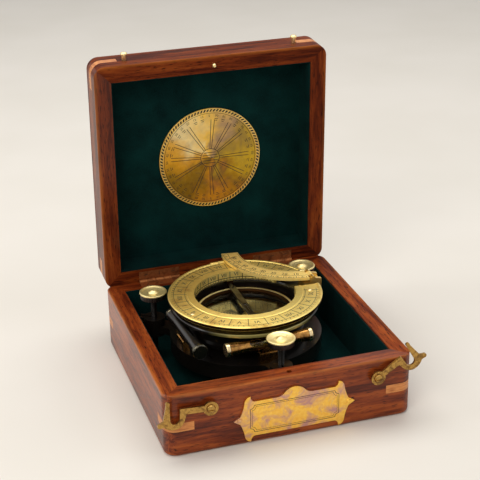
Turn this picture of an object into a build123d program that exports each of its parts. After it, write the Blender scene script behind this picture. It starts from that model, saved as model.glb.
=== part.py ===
from build123d import *
from math import atan, cos, degrees, radians, sin, sqrt, tan
import os

# Compass box: a square hardwood case with a hinged lid, two front hooks and a lining,
# holding a sundial compass on three levelling screws. Millimetres, +Z up, +X to the
# right, +Y towards the hinges. The origin is the middle of the underside of the case.

# Case
case_width = 165.0
base_height = 43.5
lid_height = 26.0
wall = 11.5
corner_radius = 8.0
edge_radius = 2.5
bottom_thickness = 7.0
panel_thickness = 5.2
baize_thickness = 0.8
rim_gap = 0.1
half = case_width / 2
inner = half - wall
rim_z = base_height
floor_z = bottom_thickness
stand_z = floor_z + baize_thickness
lid_top = rim_z + lid_height
panel_z = lid_top - panel_thickness

# Corner keys: light slips let into cuts across the mitres
key_leg = 18.5
key_thickness = 6.0
base_key_z = 20.8
lid_key_z = 56.5

# Lid hinges: the pins lie inside the back face, and bevels behind them stop the lid
lid_angle = 88.0
hinge_y = half - 2.0
hinge_x = 43.0
hinge_length = 30.0
hinge_leaf = 8.0
leaf_thickness = 1.1
knuckle_radius = 1.9
knuckle_count = 5
knuckle_gap = 0.15
hinge_pin_radius = 0.9
bevel_angle = lid_angle / 2 + 0.25

# Front hooks and the pins they catch; all the front brass sits a little right of the middle
fittings_x = 1.5
hook_x = 55.5
hook_z = 32.5
hook_back = half + 2.1
hook_thickness = 1.5
hook_eye = 4.8
hook_arm_top = 2.3
hook_arm_foot = -1.5
throat_reach = 22.75
throat_half = 3.05
throat_drop = 4.5
limb_width = 3.5
tip_height = 8.2
left_hook_rise = 2.5
right_hook_rise = 32.5
catch_x = 60.5
catch_z = 55.0
catch_radius = 1.6
catch_head = 2.4
journal_radius = 2.0
running_gap = 0.05

# Brass on the front and in the lid
plate_z = 18.2
plate_thickness = 1.1
disc_radius = 37.5
disc_x = 2.2
disc_y = -0.8
disc_thickness = 0.8
peg_y = -half + wall / 2
peg_radius = 1.4

# Instrument, in its own plan, with heights from the underside of the case
instrument_x = -1.0
instrument_y = 9.0
drum_radius = 52.0
drum_bottom = 20.0
drum_top = 31.0
drum_wall = 2.8
screw_circle = 64.0
base_turn = 3.0
screw_angles = {"front": 270.0 + base_turn, "right": 30.0 + base_turn, "left": 150.0 + base_turn}
ear_radius = 7.5
ear_bottom = 24.0
ear_top = 36.5
arm_half = 5.8
arm_depth = 5.0
lug_side = 3.2
lug_reach = 10.0
screw_radius = 2.0
knob_bottom = 51.0
knob_top = 56.0
knob_radius = 9.3

# Compass bowl and what it holds
bowl_radius = 41.0
flange_radius = 50.0
flange_top = 52.5
flange_thickness = 2.5
recess_radius = 38.0
cup_radius = 31.0
cup_floor = 36.5
glass_z = 43.0
glass_thickness = 1.5
glass_radius = 33.2
needle_z = 40.0
needle_reach = 27.0
pivot_radius = 0.9

# Spirit levels
level_offset = 47.7
level_z = 45.0
tube_radius = 3.7
tube_flare = 4.5
tube_bore = 3.0
tube_length = 54.0
front_level_shift = -2.0
left_level_shift = -14.5
cap_radius = 4.6
large_cap_radius = 5.3
window_turn = 42.0
front_saddle = 0.0
left_saddle = 6.5
cap_thickness = 3.0

# Hour ring, hinged at the north, with a notch at the east for the latitude arc
ring_radius = 52.5
ring_bore = 34.5
ring_top = 59.5
ring_thickness = 3.0
ring_wall = 1.5
ring_wall_bottom = 52.5
ring_axis_z = ring_top - ring_thickness / 2
notch_south = -3.5
notch_north = 20.5
lug_radius = 1.7
lug_half = 3.2
ear_inner = 3.5
ear_outer = 9.0
small_pin = 0.8

# Latitude arc: a flat quadrant about the ring's own axis when it stands up
arc_bottom = 60.0
arc_thickness = 2.0
arc_axis_x = 49.5
arc_axis_z = arc_bottom + arc_thickness / 2
arc_radius = 51.5
arc_width = 12.0
arc_sweep = 98.0
arc_centre_x = arc_axis_x + arc_axis_z - ring_axis_z
arc_knuckle = 1.9

# Gnomon: a slotted bar across the ring with a folding pin
bar_z = 49.3
bar_width = 4.2
bar_thickness = 1.6
bar_reach = 34.1
gnomon_length = 24.0
gnomon_radius = 0.6


def block(x0, x1, y0, y1, z0, z1):
    return Pos((x0 + x1) / 2, (y0 + y1) / 2, (z0 + z1) / 2) * Box(x1 - x0, y1 - y0, z1 - z0)


def disc(radius, z0, z1, x=0.0, y=0.0):
    return Pos(x, y, (z0 + z1) / 2) * Cylinder(radius, z1 - z0)


def rod(radius, start, end):
    run = Vector(*end) - Vector(*start)
    return extrude(Plane(origin=start, z_dir=run) * Circle(radius), run.length)


def turned(points):
    # A lathe profile of radius and height, spun about Z
    return revolve(Plane.XZ * make_face(Polyline(*points, close=True)), Axis.Z)


def opened(shape):
    # Carries a piece of the closed lid to the place it has with the lid standing open
    return shape.rotate(Axis((0, hinge_y, rim_z), (1, 0, 0)), -lid_angle)


def placed(shape):
    # Carries a piece of the instrument to its place in the case
    return Pos(instrument_x, instrument_y, 0) * shape


def around(shape, angle):
    return shape.rotate(Axis.Z, angle)


def corner_block(z0, z1):
    body = block(-half, half, -half, half, z0, z1)
    return fillet(body.edges().filter_by(Axis.Z), corner_radius)


def base_block():
    body = corner_block(0, rim_z - rim_gap / 2)
    body = fillet(body.edges().group_by(Axis.Z)[0], edge_radius)
    return chamfer(body.edges().group_by(Axis.Z)[-1], 0.5)


def lid_block():
    body = corner_block(rim_z + rim_gap / 2, lid_top)
    body = fillet(body.edges().group_by(Axis.Z)[-1], edge_radius)
    return chamfer(body.edges().group_by(Axis.Z)[0], 0.5)


def mitre_prism(z0, z1):
    # The quarter of the plan in front of both diagonals
    far = case_width
    outline = Polyline((0, 0), (-far, -far), (far, -far), close=True)
    return Pos(0, 0, z0) * extrude(make_face(outline), z1 - z0)


def corner_keys(body, z):
    # Each key is the corner of the case between its two faces, sliced thin
    reach = half - key_leg
    outline = Polyline((half + 1, reach - 1), (half + 1, half + 1), (reach - 1, half + 1), close=True)
    slip = Pos(0, 0, z - key_thickness / 2) * extrude(make_face(outline), key_thickness)
    return [body & around(slip, 90 * i) for i in range(4)]


def knuckle_recess():
    # Room in the two back walls for the knuckles, and the bevels behind the pins
    recess = Part()
    for x in (-hinge_x, hinge_x):
        reach = hinge_length / 2 + 0.2
        recess += rod(knuckle_radius + 0.25, (x - reach, hinge_y, rim_z), (x + reach, hinge_y, rim_z))
        recess += block(x - reach, x + reach, hinge_y, half + 1, rim_z - 1.6, rim_z + 1.6)
    drop = (half + 1 - hinge_y) * tan(radians(bevel_angle))
    wedge = Polyline((hinge_y, rim_z), (half + 1, rim_z - drop), (half + 1, rim_z + drop), close=True)
    wedge = Plane.YZ * make_face(wedge)
    return recess + extrude(wedge, half + 1, both=True)


def leaf_plate(x, z0, z1):
    reach = hinge_length / 2
    return block(x - reach, x + reach, hinge_y - hinge_leaf, hinge_y, z0, z1)


def hinge_leaves(low):
    # Both leaves of one side; the knuckles of the two sides alternate along each pin
    leaves = []
    step = hinge_length / knuckle_count
    for x in (-hinge_x, hinge_x):
        z0, z1 = (rim_z - leaf_thickness - 0.1, rim_z - 0.1) if low else (rim_z + 0.1, rim_z + leaf_thickness + 0.1)
        leaf = leaf_plate(x, z0, z1)
        for i in range(knuckle_count):
            start = x - hinge_length / 2 + i * step
            own = (i % 2 == 0) == low
            if own:
                leaf += rod(knuckle_radius, (start + knuckle_gap, hinge_y, rim_z),
                            (start + step - knuckle_gap, hinge_y, rim_z))
            else:
                leaf -= rod(knuckle_radius + 0.2, (start - knuckle_gap, hinge_y, rim_z),
                            (start + step + knuckle_gap, hinge_y, rim_z))
        leaf -= rod(hinge_pin_radius + running_gap, (x - 20, hinge_y, rim_z), (x + 20, hinge_y, rim_z))
        leaves.append(leaf)
    return leaves


def hinge_screws(low):
    # Three countersunk screws in each leaf, heads flush with the leaf
    screws = []
    sign = -1 if low else 1
    face = rim_z + sign * 0.1
    for x in (-hinge_x, hinge_x):
        for i in (-1, 0, 1):
            place = Pos(x + 10 * i, hinge_y - 5.2, face + sign * leaf_thickness / 2)
            tip = place * Pos(0, 0, sign * 4) * Cylinder(0.9, 7)
            flare = Cone(1.7, 0.9, leaf_thickness) if not low else Cone(0.9, 1.7, leaf_thickness)
            screws.append(tip + place * flare)
    return screws


def hinge_pins():
    reach = hinge_length / 2
    return [rod(hinge_pin_radius, (x - reach, hinge_y, rim_z), (x + reach, hinge_y, rim_z))
            for x in (-hinge_x, hinge_x)]


def hook_outline():
    # Eye, arm, deep round throat, outer limb with a rounded tip, and a small finger tab
    near = throat_reach - throat_half
    far = throat_reach + throat_half
    low = -throat_drop
    tip = (far + 0.5, tip_height - 1.7)
    limb_top = (far + 2.7, tip_height - 2.0)
    limb_foot = (far + limb_width + 0.9, low - 0.3)
    tab = [(throat_reach + 9.6, low - 1.8), (throat_reach + 10.7, low - 4.1), (throat_reach + 8.8, low - 4.6)]
    sole = [(6.7, -4.4), (3.8, -6.3), (-0.2, -6.8), (-3.2, -5.7), (-5.2, -3.4), (-6.4, -0.2)]
    sole = [(throat_reach + x, low + y) for x, y in sole]
    elbow = (throat_reach - 7.2, hook_arm_foot)
    edges = [Line((0, hook_arm_top), (near - 0.6, hook_arm_top + 0.4)),
             Line((near - 0.6, hook_arm_top + 0.4), (near, hook_arm_top - 0.2)), Line((near, hook_arm_top - 0.2), (near, low)),
             ThreePointArc((near, low), (throat_reach, low - throat_half), (far, low)), Line((far, low), tip),
             ThreePointArc(tip, (far + 1.9, tip_height), limb_top), Line(limb_top, (far + limb_width, 0.5)),
             Line((far + limb_width, 0.5), limb_foot), Line(limb_foot, tab[0]), ThreePointArc(*tab),
             Line(tab[2], sole[0]), Spline(*sole), Line(sole[-1], elbow), Line(elbow, (0, hook_arm_foot)),
             Line((0, hook_arm_foot), (0, hook_arm_top))]
    return Circle(hook_eye) + make_face(edges)


def hook(side, rise):
    outline = hook_outline() - Circle(journal_radius + running_gap)
    outline = outline.rotate(Axis.Z, rise)
    if side < 0:
        outline = mirror(outline, Plane.YZ)
    plane = Plane(origin=(fittings_x + side * hook_x, -hook_back - hook_thickness, hook_z), x_dir=(1, 0, 0), z_dir=(0, -1, 0))
    body = extrude(plane * outline, -hook_thickness)
    return body


def hook_screw(side):
    # A shouldered screw: collar on the wood, journal through the eye, domed head
    face = half
    profile = [(0, 0), (0, -9), (1.3, -7), (1.3, 0), (3.6, 0), (3.6, hook_back - face - 0.1),
               (journal_radius, hook_back - face - 0.1)]
    head = hook_back + hook_thickness - face + 0.1
    profile += [(journal_radius, head), (2.9, head), (2.9, head + 0.5), (2.4, head + 1.4),
                (1.5, head + 1.9), (0, head + 2.1)]
    body = turned(profile[1:])
    body -= Pos(0, 0, head + 2.1) * Box(8, 0.8, 1.4)
    return Pos(fittings_x + side * hook_x, -half, hook_z) * Rot(90, 0, 0) * body


def catch_pin(side):
    # A dome-headed pin in the front wall of the lid, in closed-lid coordinates
    head = hook_back + hook_thickness - half + 0.4
    body = turned([(0, -7), (1.2, -6), (1.2, 0), (catch_radius, 0), (catch_radius, head),
                   (catch_head, head), (catch_head, head + 0.4), (catch_head - 0.5, head + 1.1),
                   (catch_head - 1.3, head + 1.5), (0, head + 1.6)])
    return Pos(fittings_x + side * catch_x, -half, catch_z) * Rot(90, 0, 0) * body


def nameplate_edge():
    # Right half of the cartouche: crest, ear, pointed side, lower ear
    top = 12.3
    crest = [ThreePointArc((0, 18), (4.2, 16.8), (7.2, 14.2)), ThreePointArc((7.2, 14.2), (9.4, 12.8), (12, top))]
    ear = [Line((12, top), (27, top)), ThreePointArc((27, top), (28.6, 13.6), (29.2, 16.2)),
           ThreePointArc((29.2, 16.2), (31.6, 15.2), (33.2, 12.2))]
    side = [ThreePointArc((33.2, 12.2), (34.4, 7), (36.2, 2.6)), ThreePointArc((36.2, 2.6), (38, 1.6), (40.4, 0)),
            ThreePointArc((40.4, 0), (38, -1.6), (36.2, -2.6)), ThreePointArc((36.2, -2.6), (34.4, -7), (33.2, -12.2))]
    foot = [ThreePointArc((33.2, -12.2), (31.6, -15.2), (29.2, -16.2)),
            ThreePointArc((29.2, -16.2), (28.6, -13.6), (27, -top)), Line((27, -top), (0, -top))]
    return crest + ear + side + foot


def nameplate():
    right = make_face(nameplate_edge() + [Line((0, -12.3), (0, 18))])
    outline = right + mirror(right, Plane.YZ)
    plane = Plane(origin=(fittings_x, -half, plate_z), x_dir=(1, 0, 0), z_dir=(0, -1, 0))
    plate = extrude(plane * outline, plate_thickness)
    for x in (fittings_x - 36.5, fittings_x + 36.5):
        plate -= rod(0.9, (x, -half - 5, plate_z), (x, -half + 1, plate_z))
    return plate


def nameplate_pins():
    pins = []
    for x in (fittings_x - 36.5, fittings_x + 36.5):
        body = turned([(0, -6), (0.9, -5), (0.9, plate_thickness), (1.7, plate_thickness),
                       (1.4, plate_thickness + 0.6), (0, plate_thickness + 0.9)])
        pins.append(Pos(x, -half, plate_z) * Rot(90, 0, 0) * body)
    return pins


def base_walls():
    body = base_block()
    keys = corner_keys(body, base_key_z)
    shell = body - block(-inner, inner, -inner, inner, -1, base_height + 1)
    shell -= knuckle_recess()
    for x in (-hinge_x, hinge_x):
        shell -= leaf_plate(x, rim_z - leaf_thickness - 0.1, rim_z)
    for piece in keys + hinge_screws(True) + nameplate_pins() + [hook_screw(-1), hook_screw(1)]:
        shell -= piece
    shell -= disc(peg_radius + 0.3, rim_z - 7, rim_z + 1, 0, peg_y)
    walls = split_walls(shell)
    return walls, keys


def split_walls(shell):
    prism = mitre_prism(-1, lid_top + 1)
    names = ("front", "right", "back", "left")
    return {name: shell & around(prism, 90 * i) for i, name in enumerate(names)}


def lid_shell():
    body = lid_block()
    below = block(-half - 1, half + 1, -half - 1, half + 1, rim_z - 1, panel_z)
    keys = corner_keys(body, lid_key_z)
    frame = (body & below) - block(-inner, inner, -inner, inner, rim_z - 1, lid_top)
    panel = body - below
    frame -= knuckle_recess()
    for x in (-hinge_x, hinge_x):
        frame -= leaf_plate(x, rim_z, rim_z + leaf_thickness + 0.1)
    for piece in keys + hinge_screws(False) + [catch_pin(-1), catch_pin(1), locating_peg()]:
        frame -= piece
    return split_walls(frame), keys, panel


def locating_peg():
    return turned([(0, rim_z - 4), (0.9, rim_z - 4), (peg_radius, rim_z - 3.2), (peg_radius, rim_z + 6),
                   (0, rim_z + 6)]).moved(Location((0, peg_y, 0)))


def wall_lining(z0, z1):
    ring = block(-inner, inner, -inner, inner, z0, z1)
    face = inner - baize_thickness
    return ring - block(-face, face, -face, face, z0 - 1, z1 + 1)


def tripod_base():
    # A shallow upturned pan with three arms; each ends in a boss, bored and split for its screw
    plan = Circle(drum_radius)
    for angle in screw_angles.values():
        plan += Rot(0, 0, angle) * Pos(screw_circle / 2, 0) * Rectangle(screw_circle, 2 * arm_half)
    body = extrude(Pos(0, 0, drum_top - arm_depth) * plan, arm_depth)
    roots = [e for e in body.edges().filter_by(Axis.Z)
             if abs(sqrt(e.center().X ** 2 + e.center().Y ** 2) - drum_radius) < 0.5]
    body = fillet(roots, 5.0)
    body += disc(drum_radius, drum_bottom, drum_top)
    body -= disc(drum_radius - drum_wall, drum_bottom - 1, drum_top - arm_depth + 2.4)
    for angle in screw_angles.values():
        boss = disc(ear_radius, ear_bottom, ear_top, screw_circle, 0)
        boss += block(screw_circle, screw_circle + lug_reach, -lug_side, lug_side, ear_top - 5.5, ear_top)
        boss -= disc(screw_radius + running_gap, ear_bottom - 1, ear_top + 1, screw_circle, 0)
        boss -= block(screw_circle, screw_circle + 12, -0.6, 0.6, ear_bottom - 1, ear_top + 1)
        boss -= pinch_screw()
        body -= around(disc(ear_radius, ear_bottom - 1, ear_top + 1, screw_circle, 0), angle)
        body += around(boss, angle)
    return body


def pinch_screw():
    x = screw_circle + lug_reach - 2.0
    z = ear_top - 2.75
    return rod(1.0, (x, -lug_side, z), (x, lug_side, z)) + rod(1.7, (x, -lug_side - 1.8, z), (x, -lug_side, z))


def clamp_screws():
    return [around(pinch_screw(), angle) for angle in screw_angles.values()]


def compass_bowl():
    # Lathe-turned bowl: waisted foot, cylindrical body, wide flange, stepped seat and cup
    underside = flange_top - flange_thickness
    body = turned([(0, drum_top), (35, drum_top), (38, drum_top + 2), (bowl_radius - 0.6, drum_top + 6),
                   (bowl_radius, drum_top + 9), (bowl_radius, underside - 1.5), (bowl_radius + 1.5, underside),
                   (flange_radius - 0.6, underside), (flange_radius, underside + 0.6),
                   (flange_radius, flange_top - 0.5), (flange_radius - 0.5, flange_top),
                   (recess_radius, flange_top), (recess_radius, glass_z + glass_thickness),
                   (glass_radius, glass_z + glass_thickness), (glass_radius, glass_z), (cup_radius, glass_z),
                   (cup_radius, cup_floor), (0, cup_floor)])
    return body


def bezel():
    z = glass_z + glass_thickness
    return turned([(cup_radius - 0.4, z), (recess_radius, z), (recess_radius, z + 1.2), (34.2, z + 1.2),
                   (33.6, z + 2.2), (32.9, z + 2.6), (31.9, z + 2.4), (cup_radius - 0.4, z + 0.8)])


def compass_needle():
    half_width = 2.9
    cap = 2.4
    outline = Polyline((0, needle_reach), (-half_width, 0), (0, -needle_reach), (half_width, 0), close=True)
    plate = extrude(make_face(outline) + Circle(cap + 1.1), 0.8)
    return Pos(0, 0, needle_z) * (plate - Pos(0, 0, 0.4) * Cylinder(cap, 2))


def needle_cap():
    top = needle_z + 1.3
    return turned([(pivot_radius + running_gap, needle_z - 0.5), (2.0, needle_z - 0.5), (2.4, needle_z),
                   (2.4, needle_z + 1.2), (1.8, needle_z + 2.0), (0, needle_z + 2.3), (0, top),
                   (pivot_radius + running_gap, top)])


def needle_pivot():
    return turned([(0, cup_floor + 0.8), (2.2, cup_floor + 0.8), (1.6, cup_floor + 1.4), (pivot_radius, cup_floor + 1.8),
                   (pivot_radius, needle_z + 0.5), (0.15, needle_z + 1.25), (0, needle_z + 1.25)])


def level_tube():
    # Along X at the origin, flared at both ends, with a long window turned up and outwards
    reach = tube_length / 2
    tube = turned([(tube_bore, -reach), (tube_flare, -reach), (tube_flare - 0.2, 2 - reach), (tube_radius, 10 - reach),
                   (tube_radius, reach - 10), (tube_flare - 0.2, reach - 2), (tube_flare, reach), (tube_bore, reach)])
    window = block(-14, 14, -2.2, 2.2, 0, tube_radius + 1)
    window = fillet(window.edges().filter_by(Axis.Z), 2.1)
    return Rot(0, 90, 0) * tube - window.rotate(Axis.X, window_turn)


def level_vial():
    reach = tube_length / 2 - 4
    barrel = rod(tube_bore - 0.1, (-reach, 0, 0), (reach, 0, 0))
    return chamfer(barrel.edges(), 0.8)


def level_caps(first_radius):
    caps = []
    for side, radius in ((-1, first_radius), (1, cap_radius)):
        face = side * tube_length / 2
        cap = rod(radius, (face, 0, 0), (face + side * cap_thickness, 0, 0))
        cap = chamfer(cap.edges(), 0.6)
        caps.append(cap + rod(tube_bore, (face - side * 4, 0, 0), (face + side, 0, 0)))
    return caps


def level_saddle(x):
    # A block on the tripod base with a neck hollowed at the top where the tube lies on it
    foot = block(x - 6.5, x + 6.5, -2.2, 2.2, drum_top - level_z, -6.5)
    foot = chamfer(foot.edges().group_by(Axis.Z)[-1], 0.5)
    neck = block(x - 4, x + 4, -1.6, 1.6, -6.6, -2.4)
    return foot + (neck - rod(tube_radius, (-40, 0, 0), (40, 0, 0)))


def front_level(shape):
    return Rot(0, 0, base_turn) * Pos(front_level_shift, -level_offset, level_z) * shape


def left_level(shape):
    return Rot(0, 0, base_turn) * Pos(-level_offset, left_level_shift, level_z) * Rot(0, 0, 90) * shape


def ring_bracket():
    # Stands on the bowl flange at the north and carries the hour ring's pin
    y = ring_radius
    body = block(-ear_outer, ear_outer, 40.5, 49, flange_top, flange_top + 2.2)
    profile = Polyline((46, flange_top), (y - 1.2, flange_top), (y + lug_radius, flange_top + 2.6),
                       (y + lug_radius, ring_axis_z), (y - lug_radius, ring_axis_z),
                       (y - lug_radius, flange_top + 3.6), (46, flange_top + 2.2), close=True)
    profile = Plane.YZ * make_face(profile)
    for side in (-1, 1):
        ear = extrude(profile, side * (ear_outer - ear_inner))
        ear = Pos(side * ear_inner, 0, 0) * ear
        body += ear + rod(lug_radius, (side * ear_inner, y, ring_axis_z), (side * ear_outer, y, ring_axis_z))
    return body - rod(small_pin, (-20, y, ring_axis_z), (20, y, ring_axis_z))


def ring_pin():
    reach = ear_outer
    return rod(small_pin, (-reach, ring_radius, ring_axis_z), (reach, ring_radius, ring_axis_z))


def hour_ring():
    under = ring_top - ring_thickness
    outer = ring_bore + ring_wall
    body = turned([(ring_bore, ring_wall_bottom), (ring_bore, ring_top), (39.2, ring_top), (39.5, ring_top - 0.35),
                   (50.2, ring_top - 0.35), (50.6, ring_top), (ring_radius - 0.6, ring_top),
                   (ring_radius, ring_top - 0.6), (ring_radius, under + 0.6), (ring_radius - 0.6, under),
                   (outer, under), (outer, ring_wall_bottom)])
    notch = block(28, 60, notch_south, notch_north, ring_wall_bottom - 1, ring_top + 1)
    body -= notch
    corners = [e for e in body.edges().filter_by(Axis.Z) if e.center().X > 45 and abs(e.center().Y - 8.5) < 14]
    if corners:
        body = fillet(corners, 1.6)
    for side in (-1, 1):
        body -= block(min(side * lug_half, side * (ear_outer + 0.5)), max(side * lug_half, side * (ear_outer + 0.5)),
                      ring_radius - 2.3, ring_radius + 5, under - 1, ring_top + 1)
    body -= block(-lug_half, lug_half, ring_radius - 1.2, ring_radius + 5, under - 1, ring_top + 1)
    lug = block(-lug_half, lug_half, 48, ring_radius, under + 0.2, ring_top - 0.2)
    lug += rod(lug_radius, (-lug_half, ring_radius, ring_axis_z), (lug_half, ring_radius, ring_axis_z))
    lug -= disc(47.0, under - 1, ring_top + 1)
    body += lug
    # Two ears hang below the wall and carry the gnomon bar
    ears = disc(outer, bar_z - 3, ring_wall_bottom + 0.2) - disc(ring_bore, bar_z - 4, ring_wall_bottom + 1)
    ears &= block(-2.3, 2.3, -40, 40, bar_z, ring_wall_bottom + 1) + rod(2.3, (0, -40, bar_z), (0, 40, bar_z))
    body += ears
    body -= rod(small_pin + running_gap, (-20, ring_radius, ring_axis_z), (20, ring_radius, ring_axis_z))
    for pin in gnomon_pivots():
        body -= pin
    return body


def gnomon_pivots():
    # Pointed screws through the ring wall at north and south
    pins = []
    for side in (-1, 1):
        wall_face = ring_bore + ring_wall
        shank = rod(0.7, (0, side * (bar_reach - 3), bar_z), (0, side * wall_face, bar_z))
        pins.append(shank + rod(1.3, (0, side * (wall_face - 0.4), bar_z), (0, side * (wall_face + 0.8), bar_z)))
    return pins


def gnomon_bar():
    bar = block(-bar_width / 2, bar_width / 2, -31, 31, bar_z - bar_thickness / 2, bar_z + bar_thickness / 2)
    bar = fillet(bar.edges().filter_by(Axis.Z), 1.2)
    for side in (-1, 1):
        bar += rod(1.4, (0, side * 28, bar_z), (0, side * bar_reach, bar_z))
        bar -= rod(0.7 + running_gap, (0, side * 30.5, bar_z), (0, side * 36, bar_z))
    bar -= block(-1.0, 1.0, -gnomon_length - 1.2, 1.6, bar_z - 3, bar_z + 3)
    return bar - rod(0.5 + running_gap, (-3, 0, bar_z), (3, 0, bar_z))


def gnomon_pin():
    # Lies in the bar's slot and turns up on its cross pin
    shaft = rod(gnomon_radius, (0, 0, bar_z), (0, -gnomon_length + 2.5, bar_z))
    point = Pos(0, -gnomon_length + 1.25, bar_z) * Rot(90, 0, 0) * Cone(gnomon_radius, 0.12, 2.5)
    hub = rod(0.8, (-0.75, 0, bar_z), (0.75, 0, bar_z))
    return shaft + point + hub + rod(0.5, (-2.4, 0, bar_z), (2.4, 0, bar_z))


def latitude_arc():
    # A flat quadrant band; its centre lies on the hour ring's axis when the arc stands up
    centre = (arc_centre_x, ring_radius)
    inner_radius = arc_radius - arc_width
    first, last = radians(180 + 90), radians(270 - arc_sweep)

    def at(radius, angle):
        return (centre[0] + radius * cos(angle), centre[1] + radius * sin(angle))

    middle = (first + last) / 2
    band = make_face([ThreePointArc(at(arc_radius, first), at(arc_radius, middle), at(arc_radius, last)),
                      Line(at(arc_radius, last), at(inner_radius, last)),
                      ThreePointArc(at(inner_radius, last), at(inner_radius, middle), at(inner_radius, first)),
                      Line(at(inner_radius, first), at(arc_radius, first))])
    body = Pos(0, 0, arc_bottom) * extrude(band, arc_thickness)
    body -= block(arc_axis_x - 2.2, 60, -10, 20, 0, 100)
    body += block(arc_axis_x - 3, arc_axis_x, 4.2, 9.8, arc_bottom, arc_bottom + arc_thickness)
    body += rod(arc_knuckle, (arc_axis_x, 4.2, arc_axis_z), (arc_axis_x, 9.8, arc_axis_z))
    return body - rod(small_pin + running_gap, (arc_axis_x, -20, arc_axis_z), (arc_axis_x, 30, arc_axis_z))


def arc_bracket():
    # A forked block on the bowl flange at the east, with a leg outside the flange
    x = arc_axis_x
    saddle = Polyline((43, flange_top), (48, flange_top), (48, flange_top + 1.4), (51.4, flange_top + 1.4),
                      (51.4, flange_top - 3), (56, flange_top - 3), (56, arc_axis_z - 2.6), (43, arc_axis_z - 2.6),
                      close=True)
    fork = Polyline((x - arc_knuckle, arc_axis_z - 2.7), (56, arc_axis_z - 2.7), (56, arc_axis_z - 1),
                    (x + arc_knuckle, arc_axis_z), (x - arc_knuckle, arc_axis_z), close=True)
    body = extrude(Plane.XZ.offset(-12.8) * make_face(saddle), 11.6)
    for south, north in ((1.2, 4.0), (10.0, 12.8)):
        body += extrude(Plane.XZ.offset(-north) * make_face(fork), north - south)
        body += rod(arc_knuckle, (x, south, arc_axis_z), (x, north, arc_axis_z))
    return body - rod(small_pin, (x, -20, arc_axis_z), (x, 30, arc_axis_z))


def arc_pin():
    return rod(small_pin, (arc_axis_x, 1.2, arc_axis_z), (arc_axis_x, 12.8, arc_axis_z))


def levelling_screw():
    # Foot, shank and a slim spigot for the knob
    return turned([(0, stand_z + 0.1), (2.6, stand_z + 0.1), (3.0, stand_z + 0.9), (3.0, stand_z + 1.8),
                   (screw_radius, stand_z + 3.2), (screw_radius, knob_bottom - 0.05), (1.4, knob_bottom - 0.05),
                   (1.4, knob_bottom + 2.9), (0, knob_bottom + 2.9)])


def levelling_knob():
    # A dark grip under a thin bright dished disc with a pointed centre boss
    grip = knob_radius - 0.6
    rim = knob_top - 1.2
    return turned([(1.4 + running_gap, knob_bottom), (grip - 0.5, knob_bottom), (grip, knob_bottom + 0.5),
                   (grip, rim), (knob_radius - 0.2, rim), (knob_radius, rim + 0.2),
                   (knob_radius, knob_top - 0.3), (knob_radius - 0.3, knob_top), (knob_radius - 1.0, knob_top),
                   (knob_radius - 2.2, knob_top - 0.5), (4.4, knob_top - 0.95), (3.4, knob_top - 0.85),
                   (2.4, knob_top + 0.1), (1.3, knob_top + 0.8), (0, knob_top + 1.0), (0, knob_bottom + 3),
                   (1.4 + running_gap, knob_bottom + 3)])


def case_pieces():
    walls, keys = base_walls()
    pieces = {"base_wall_" + name: wall_piece for name, wall_piece in walls.items()}
    pieces["base_corner_keys"] = keys
    pieces["base_bottom"] = block(-inner, inner, -inner, inner, 0, floor_z)
    pieces["base_floor_baize"] = block(-inner, inner, -inner, inner, floor_z, stand_z)
    pieces["base_wall_baize"] = wall_lining(stand_z, rim_z - 1)
    pieces["nameplate"] = nameplate()
    pieces["nameplate_pins"] = nameplate_pins()
    pieces["base_hinge_leaves"] = leaves_with_holes(True)
    pieces["base_hinge_screws"] = hinge_screws(True)
    pieces["hinge_pins"] = hinge_pins()
    pieces["left_hook_screw"] = hook_screw(-1)
    pieces["right_hook_screw"] = hook_screw(1)
    pieces["left_hook"] = hook(-1, left_hook_rise)
    pieces["right_hook"] = hook(1, right_hook_rise)
    return pieces


def leaves_with_holes(low):
    leaves = hinge_leaves(low)
    screws = hinge_screws(low)
    for i, leaf in enumerate(leaves):
        for screw in screws[3 * i:3 * i + 3]:
            leaf -= screw
        leaves[i] = leaf
    return leaves


def lid_pieces():
    walls, keys, panel = lid_shell()
    pieces = {"lid_wall_" + name: wall_piece for name, wall_piece in walls.items()}
    pieces["lid_corner_keys"] = keys
    pieces["lid_panel"] = panel
    face = inner - baize_thickness
    pieces["lid_panel_baize"] = block(-inner, inner, -inner, inner, panel_z - baize_thickness, panel_z)
    pieces["lid_wall_baize"] = wall_lining(rim_z + 1, panel_z - baize_thickness)
    disc_face = panel_z - baize_thickness - disc_thickness
    pieces["lid_disc"] = disc(disc_radius, disc_face, disc_face + disc_thickness, disc_x, disc_y)
    pieces["lid_hinge_leaves"] = leaves_with_holes(False)
    pieces["lid_hinge_screws"] = hinge_screws(False)
    pieces["catch_pins"] = [catch_pin(-1), catch_pin(1)]
    pieces["locating_peg"] = locating_peg()
    return {name: moved_all(opened, piece) for name, piece in pieces.items()}


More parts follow.
